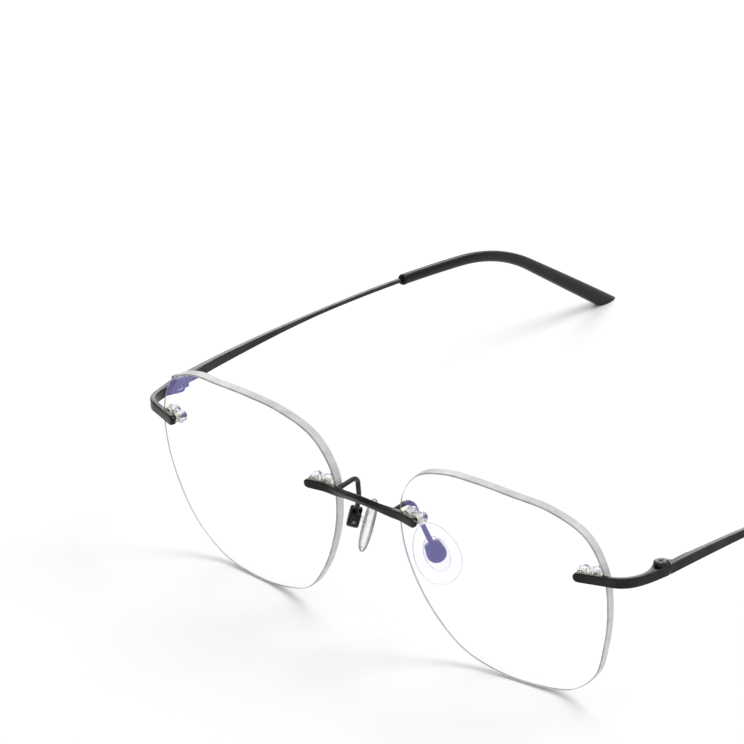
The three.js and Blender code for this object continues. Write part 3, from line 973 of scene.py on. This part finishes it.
def gunmetal(name, light=1.0):
    """Dark plated metal with a satin grain along the bars and a few worn, shinier patches."""
    shader = Shader(name)
    patches = shader.noise(260, 4)
    grain = shader.noise(5200, 2, (1, 0.08, 1))
    speckle = shader.noise(9000, 2)
    low = tuple(c * light for c in (0.016, 0.016, 0.015))
    high = tuple(c * light for c in (0.032, 0.032, 0.03))
    return shader.finish(
        shader.principled(
            base_color=shader.ramp(patches, low, high),
            metallic=0.88,
            roughness=shader.between(speckle, 0.23, 0.35),
            normal=shader.bump(grain, 0.02, 0.35),
            specular_ior_level=0.3,
        )
    )


def steel(name, low, high):
    """Turned steel with a fine grain and a little dirt."""
    shader = Shader(name)
    grain = shader.noise(6000, 3)
    dirt = shader.noise(1500, 3)
    return shader.finish(
        shader.principled(
            base_color=shader.ramp(dirt, low, high),
            metallic=1.0,
            roughness=shader.between(grain, 0.26, 0.38),
            normal=shader.bump(grain, 0.006, 0.2),
        )
    )


def tip_plastic():
    """Near black acetate with a soft polish."""
    shader = Shader("tip_plastic")
    haze = shader.noise(180, 4)
    fine = shader.noise(3200, 3)
    return shader.finish(
        shader.principled(
            base_color=shader.ramp(haze, (0.003, 0.003, 0.003), (0.007, 0.007, 0.007)),
            roughness=shader.between(haze, 0.22, 0.32),
            normal=shader.bump(fine, 0.012, 0.25),
            specular_ior_level=0.14,
        )
    )


def coated_lens():
    """Clear hard resin whose coating reflects violet. It lets the lamps through to the floor."""
    shader = Shader("lens_coating")
    drift = shader.noise(32, 2)
    smudge = shader.noise(70, 3)
    glass = shader.node(
        "ShaderNodeBsdfRefraction",
        Color=shader.ramp(smudge, (0.94, 0.942, 0.87), (0.945, 0.945, 0.875)),
        Roughness=0.0,
        IOR=LENS_INDEX,
    )
    reflected = shader.node(
        "ShaderNodeBsdfGlossy",
        Color=shader.ramp(drift, (0.09, 0.078, 0.17), (0.08, 0.078, 0.19)),
        Roughness=shader.between(smudge, 0.0, 0.03),
    )
    both = shader.nodes.new("ShaderNodeAddShader")
    shader.link(glass.outputs[0], both.inputs[0])
    shader.link(reflected.outputs[0], both.inputs[1])
    return shader.finish(shader.mixed(shader.lamp_rays(), both, shader.open((0.955, 0.96, 0.95))))


def ground_edge(name, low, high):
    """The ground rim of a lens: pale grey with fine streaks."""
    shader = Shader(name)
    streaks = shader.noise(420, 3)
    fine = shader.noise(4200, 2)
    frosted = shader.principled(
        base_color=shader.ramp(streaks, low, high, 0.42, 0.6),
        roughness=shader.between(fine, 0.3, 0.45),
        normal=shader.bump(fine, 0.01, 0.3),
        specular_ior_level=0.3,
    )
    return shader.finish(frosted)


def clear_plastic(name, tint, rough, share, painted_edge_shade, ripple=0.05):
    """Clear moulded plastic, part glass and part open, with painted shade on the open part: darker where it
    is seen along its face.
    """
    shader = Shader(name)
    waves = shader.noise(1400, 3)
    cloud = shader.noise(400, 3)
    glass = shader.principled(
        base_color=shader.ramp(cloud, tuple(c * 0.95 for c in tint), tint),
        roughness=shader.between(waves, rough, rough + 0.06),
        normal=shader.bump(waves, ripple, 0.5),
        transmission_weight=1.0,
        ior=1.46,
    )
    # Painted shade: the open part darkens towards grazing view, standing in for the dark outline that
    # refraction draws at the edges.
    outline = shader.node("ShaderNodeLayerWeight", Blend=0.5).outputs["Facing"]
    veil = shader.open(shader.ramp(outline, (0.98, 0.98, 0.98), painted_edge_shade, 0.45, 0.8))
    partly = shader.mixed(share, veil, glass)
    return shader.finish(shader.mixed(shader.lamp_rays(), partly, shader.open((0.86, 0.865, 0.87))))


def washer_nylon():
    shader = Shader("washer_nylon")
    mottle = shader.noise(1200, 3)
    return shader.finish(
        shader.principled(
            base_color=shader.ramp(mottle, (0.62, 0.6, 0.55), (0.74, 0.72, 0.67)),
            roughness=shader.between(mottle, 0.45, 0.6),
            normal=shader.bump(mottle, 0.02),
        )
    )


def floor_paint():
    shader = Shader("floor")
    tone = shader.noise(3, 3)
    return shader.finish(
        shader.principled(
            base_color=shader.ramp(tone, (0.9, 0.9, 0.9), (0.92, 0.92, 0.92)),
            roughness=0.75,
            specular_ior_level=0.15,
        )
    )


# Placing the pieces.


SHARP_ANGLE = math.radians(32)
FACE_SHARE = 0.88
BEVEL_SHARE = 0.3


def place(name, mesh, materials, node, body, slot_name, choose=None):
    """Puts a finished piece in the row frame, in place of its CAD node."""
    mesh = moved(mesh, to_row)
    mesh.name = name
    mesh.materials.clear()
    for material in materials:
        mesh.materials.append(material)
    mesh.shade_smooth()
    mesh.set_sharp_from_angle(angle=SHARP_ANGLE)
    if choose:
        for polygon in mesh.polygons:
            polygon.material_index = choose(mesh, polygon)
    piece = bpy.data.objects.new(name, mesh)
    bpy.context.scene.collection.objects.link(piece)
    normals = piece.modifiers.new("flat_faces", "WEIGHTED_NORMAL")
    normals.keep_sharp = True
    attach(piece, body)
    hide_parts(node)
    return piece


metal = gunmetal("gunmetal")
arm_metal = gunmetal("arm_gunmetal", 1.1)
screw_metal = steel("dark_screw_steel", (0.05, 0.05, 0.048), (0.085, 0.085, 0.082))
# The pad screw gets a copy of the screw steel painted far lighter than the hinge screw's, a painted highlight
# so that its small head shows a bright ring.
pad_screw_lit_metal = steel("screw_steel", (0.5, 0.5, 0.49), (0.72, 0.72, 0.7))
acetate = tip_plastic()
coating = coated_lens()
rim = ground_edge("lens_edge", (0.55, 0.56, 0.555), (0.62, 0.63, 0.625))
# The bevels get a darker copy of the ground edge: painted shade that draws a thin grey outline along each
# rim.
bevel = ground_edge("lens_bevel_painted_outline", (0.34, 0.345, 0.35), (0.44, 0.45, 0.45))
sleeve_plastic = clear_plastic("sleeve_plastic", (0.96, 0.97, 0.97), 0.01, 0.75, (0.4, 0.4, 0.4), 0.12)
insert_plastic = clear_plastic("insert_plastic", (0.96, 0.965, 0.97), 0.01, 0.8, (0.85, 0.85, 0.85), 0.3)
pad_silicone = clear_plastic("pad_silicone", (0.975, 0.98, 0.98), 0.05, 0.3, (0.2, 0.2, 0.205))
nylon = washer_nylon()


def lens_choice(side):
    """Picks the coating, the bevel or the rim material for each face of the lens on one side."""
    turn = (to_row @ lens_frame).to_3x3()
    if side == "right":
        turn = mirror.to_3x3() @ turn
    back = (turn @ Vector((0, 1, 0))).normalized()

    def choose(mesh, polygon):
        facing = abs(polygon.normal.dot(back))
        if facing > FACE_SHARE:
            return 0
        return 2 if facing > BEVEL_SHARE else 1

    return choose


def build_sides():
    """Draws each paired piece once and places it on both sides, each riding on its own body."""
    drawn = {
        "lens": (lens(), [coating, rim, bevel], "front", "lens"),
        "lens_sleeve_temporal": (sleeve(temporal_frame), [sleeve_plastic], "front", "clear_nylon"),
        "lens_sleeve_nasal": (sleeve(nasal_frame), [sleeve_plastic], "front", "clear_nylon"),
        "endpiece": (endpiece(), [metal], "front", "frame_metal"),
        "hinge_screw": (hinge_screw(), [screw_metal], "front", "screw_steel"),
        "pad_arm": (pad_arm(), [metal], "front", "frame_metal"),
        "pad_box": (pad_box(), [metal], "front", "frame_metal"),
        "pad_screw": (pad_screw(), [pad_screw_lit_metal], "front", "screw_steel"),
        "temple_hinge": (temple_hinge(), [metal], "temple_{}", "frame_metal"),
        "temple_arm": (temple_arm(), [arm_metal], "temple_{}", "frame_metal"),
        "temple_tip": (temple_tip(), [acetate], "temple_{}", "tip_plastic"),
        "pad_insert": (pad_insert(), [insert_plastic], "nose_pad_{}", "clear_nylon"),
        "nose_pad": (nose_pad(), [pad_silicone], "nose_pad_{}", "pad_silicone"),
    }
    for name, (mesh, materials, body, slot_name) in drawn.items():
        for side in ("left", "right"):
            copy = mesh.copy()
            if side == "right":
                moved(copy, mirror)
            choose = lens_choice(side) if name == "lens" else None
            node = f"{name}_{side}"
            place(f"{node}_fine", copy, materials, node, body.format(side), slot_name, choose)


def finish_washers():
    """The washers keep their CAD shape and get their nylon finish."""
    for side in ("left", "right"):
        for level in ("upper", "lower"):
            washer = frame["nodes"][f"hinge_washer_{level}_{side}"]
            washer.data.materials.clear()
            washer.data.materials.append(nylon)


# The studio, in metres.

FLOOR_HALF_SIZE = 6
FLOOR_DROP = 0.0001
ROOM_LIGHT = 0.72
KEY_LAMP = {"place_at": (0.5, 0.9, 1.3), "size": (1.0, 1.0), "power": 13}
SHEEN_LAMP = {"place_at": (-1.05, 1.15, 0.75), "size": (1.0, 0.4), "power": 8}


def add_floor():
    half = FLOOR_HALF_SIZE
    mesh = new_mesh([(-half, -half, 0), (half, -half, 0), (half, half, 0), (-half, half, 0)], [(0, 1, 2, 3)])
    mesh.materials.append(floor_paint())
    floor = bpy.data.objects.new("floor", mesh)
    bpy.context.scene.collection.objects.link(floor)
    floor.location.z = -FLOOR_DROP


def add_light(name, place_at, size, power):
    """A soft lamp aimed at the middle of the floor."""
    light = bpy.data.lights.new(name, "AREA")
    light.shape = "RECTANGLE"
    light.size, light.size_y = size
    light.energy = power
    lamp = bpy.data.objects.new(name, light)
    bpy.context.scene.collection.objects.link(lamp)
    lamp.location = place_at
    lamp.rotation_euler = (-Vector(place_at)).to_track_quat("-Z", "Y").to_euler()


def add_world():
    """A pale room that looks white behind the floor and lights the glasses less than the lamps do."""
    world = bpy.data.worlds.new("studio")
    world.use_nodes = True
    nodes = world.node_tree.nodes
    links = world.node_tree.links
    background = nodes["Background"]
    background.inputs["Color"].default_value = (1, 1, 1, 1)
    path = nodes.new("ShaderNodeLightPath")
    strength = nodes.new("ShaderNodeMapRange")
    strength.inputs["To Min"].default_value = ROOM_LIGHT
    strength.inputs["To Max"].default_value = 1
    links.new(path.outputs["Is Camera Ray"], strength.inputs["Value"])
    links.new(strength.outputs["Result"], background.inputs["Strength"])
    bpy.context.scene.world = world


CAMERA_AZIMUTH = math.radians(43.092)
CAMERA_ELEVATION = math.radians(24.536)
CAMERA_ROLL = math.radians(-0.624)
CAMERA_DISTANCE = 2.18763
CAMERA_PAN = (-0.052521, 0.029826)
CAMERA_LENS = 510.8
CAMERA_SENSOR = 36


def add_camera():
    back = Vector(
        (
            math.sin(CAMERA_AZIMUTH) * math.cos(CAMERA_ELEVATION),
            -math.cos(CAMERA_AZIMUTH) * math.cos(CAMERA_ELEVATION),
            math.sin(CAMERA_ELEVATION),
        )
    )
    level = Vector((math.cos(CAMERA_AZIMUTH), math.sin(CAMERA_AZIMUTH), 0))
    up = back.cross(level)
    right = level * math.cos(CAMERA_ROLL) + up * math.sin(CAMERA_ROLL)
    up = up * math.cos(CAMERA_ROLL) - level * math.sin(CAMERA_ROLL)
    data = bpy.data.cameras.new("camera")
    data.sensor_width = CAMERA_SENSOR
    data.lens = CAMERA_LENS
    camera = bpy.data.objects.new("camera", data)
    bpy.context.scene.collection.objects.link(camera)
    place_at = right * CAMERA_PAN[0] + up * CAMERA_PAN[1] + back * CAMERA_DISTANCE
    camera.matrix_world = Matrix.Translation(place_at) @ Matrix((right, up, back)).transposed().to_4x4()
    bpy.context.scene.camera = camera


add_camera()
build_sides()
place("bridge_fine", bridge(), [metal], "bridge", "front", "frame_metal")
finish_washers()
add_floor()
add_world()
add_light("key", **KEY_LAMP)
add_light("sheen", **SHEEN_LAMP)
bpy.context.scene.view_settings.view_transform = "Standard"
